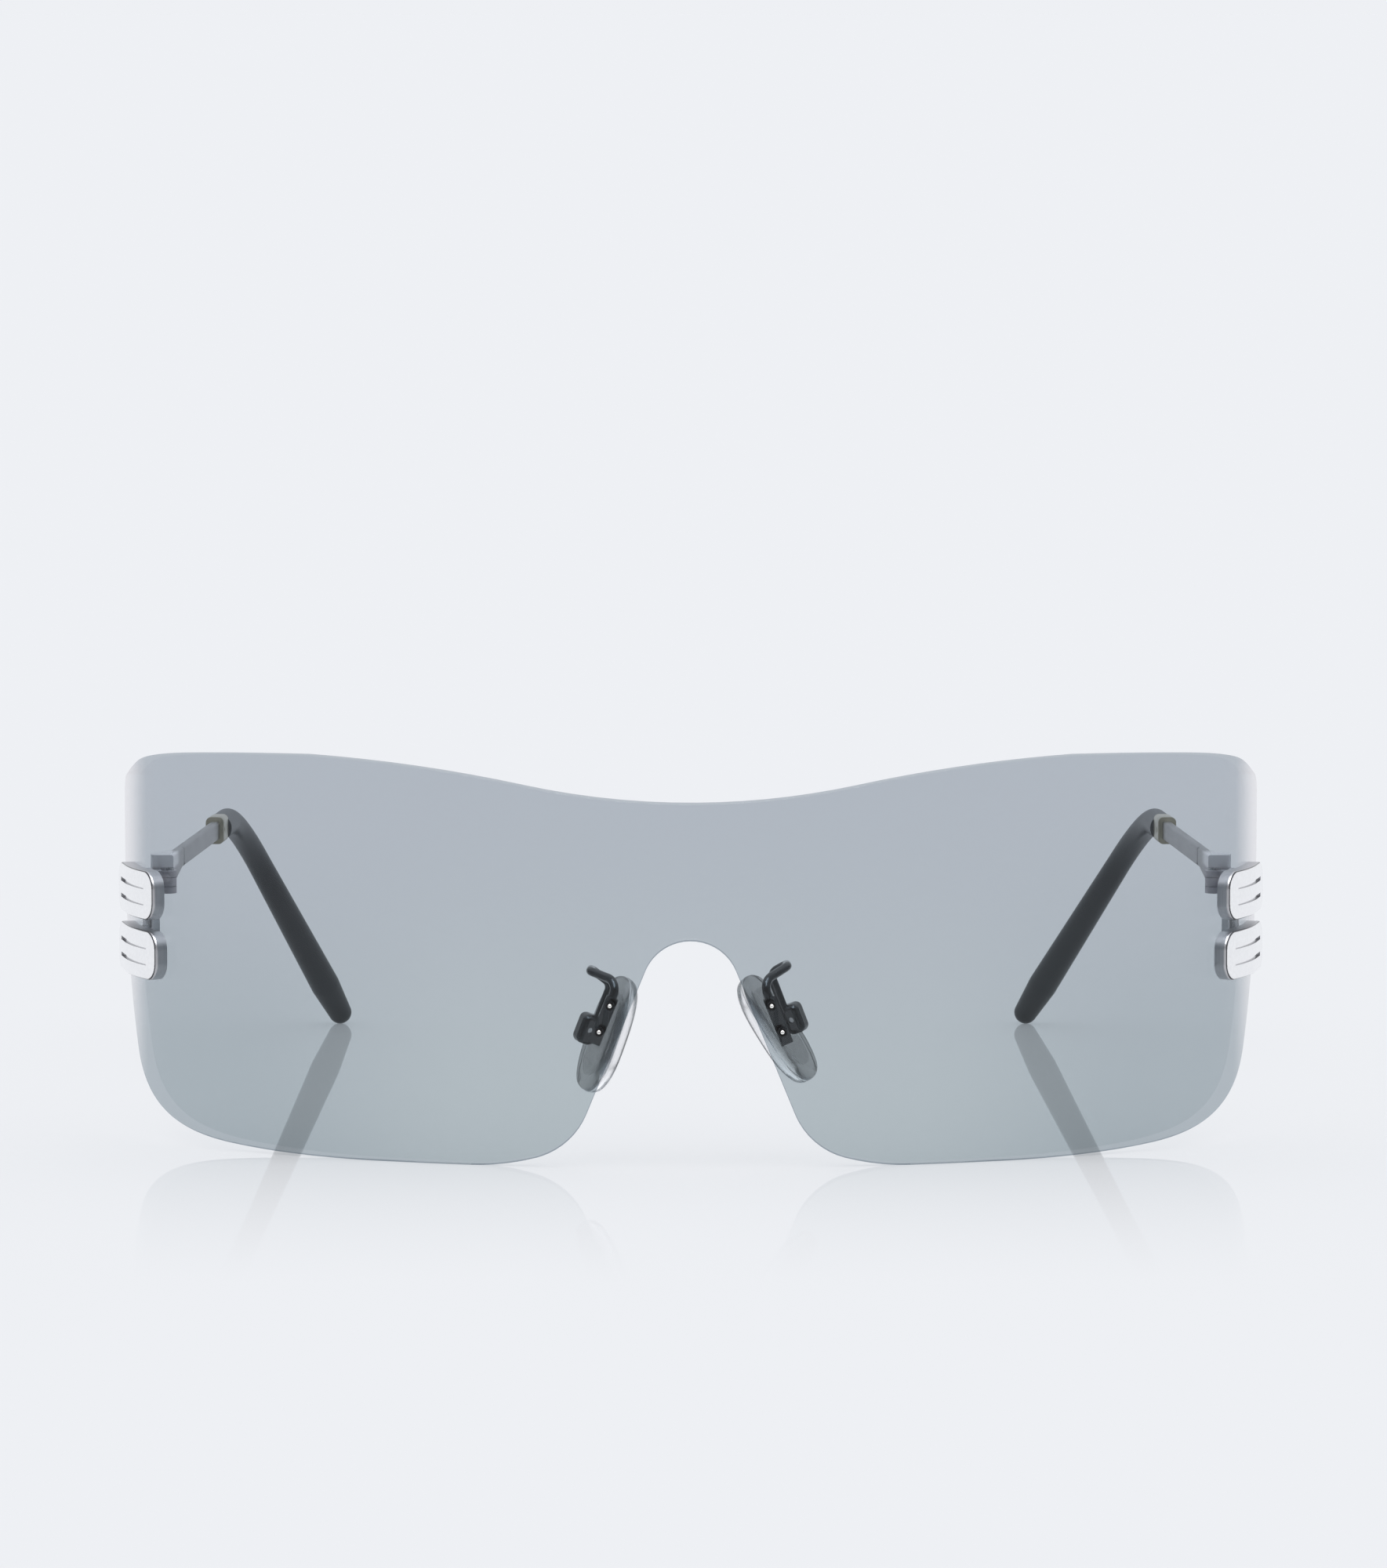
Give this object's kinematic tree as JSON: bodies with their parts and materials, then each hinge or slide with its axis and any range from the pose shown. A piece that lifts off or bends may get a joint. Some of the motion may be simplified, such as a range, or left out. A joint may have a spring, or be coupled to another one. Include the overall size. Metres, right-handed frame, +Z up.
{
  "type": "shield sunglasses",
  "caption": "Rimless sunglasses with a one-piece wrapped tinted lens, folding temples, rocking nose pads and plain reeded metal bars on the sides.",
  "frame": {"origin": "middle of the glasses' box on the table they stand on: the flat foot of the lens and both tip ends are at Z = 0", "axes": "+X to the viewer's right seen from in front (the wearer's left), +Y back towards the wearer, +Z up"},
  "size_m": [0.1448, 0.145, 0.05],
  "materials": {
    "lens_tint": "clear polished grey-blue tint",
    "bright_chrome": "polished chrome plate",
    "satin_steel": "satin grey metal",
    "screw_steel": "turned steel",
    "ferrule_nickel": "warm polished nickel",
    "tip_sleeve": "charcoal moulded sleeve",
    "gunmetal": "dark gunmetal plate",
    "rivet_sleeve": "black moulded sleeve",
    "rivet_chrome": "bright domed rivet",
    "pad_silicone": "clear soft silicone",
    "pad_core_clear": "clear hard plastic"
  },
  "bodies": {
    "front": {"shield_lens": "lens_tint", "plaque_upper_left": "bright_chrome", "plaque_lower_left": "bright_chrome", "hinge_plate_left": "satin_steel", "plate_screws_left": "screw_steel", "hinge_screw_left": "screw_steel", "nose_plate_left": "gunmetal", "rivet_sleeves_left": "rivet_sleeve", "nose_rivets_left": "rivet_chrome", "pad_arm_left": "gunmetal", "pad_box_left": "gunmetal", "pad_screw_left": "screw_steel", "plaque_upper_right": "bright_chrome", "plaque_lower_right": "bright_chrome", "hinge_plate_right": "satin_steel", "plate_screws_right": "screw_steel", "hinge_screw_right": "screw_steel", "nose_plate_right": "gunmetal", "rivet_sleeves_right": "rivet_sleeve", "nose_rivets_right": "rivet_chrome", "pad_arm_right": "gunmetal", "pad_box_right": "gunmetal", "pad_screw_right": "screw_steel"},
    "temple_left": {"temple_arm_left": "satin_steel", "ferrule_left": "ferrule_nickel", "temple_tip_left": "tip_sleeve"},
    "pad_left": {"nose_pad_left": "pad_silicone", "pad_core_left": "pad_core_clear"},
    "temple_right": {"temple_arm_right": "satin_steel", "ferrule_right": "ferrule_nickel", "temple_tip_right": "tip_sleeve"},
    "pad_right": {"nose_pad_right": "pad_silicone", "pad_core_right": "pad_core_clear"}
  },
  "joints": [
    {"name": "temple_fold_left", "type": "hinge", "parent": "front", "child": "temple_left", "pos_m": [-0.06635, -0.03329, 0.03118], "axis": [0, 0, -1], "range_deg": [0, 90]},
    {"name": "temple_fold_right", "type": "hinge", "parent": "front", "child": "temple_right", "pos_m": [0.06635, -0.03329, 0.03118], "axis": [0, 0, 1], "range_deg": [0, 82]},
    {"name": "nose_pad_rock_left", "type": "hinge", "parent": "front", "child": "pad_left", "pos_m": [-0.01282, -0.06215, 0.01605], "axis": [-0.3648, 0.9205, 0.14], "range_deg": [-2, 26]},
    {"name": "nose_pad_rock_right", "type": "hinge", "parent": "front", "child": "pad_right", "pos_m": [0.01282, -0.06215, 0.01735], "axis": [0.3648, 0.9205, 0.14], "range_deg": [-12, 16]}
  ]
}
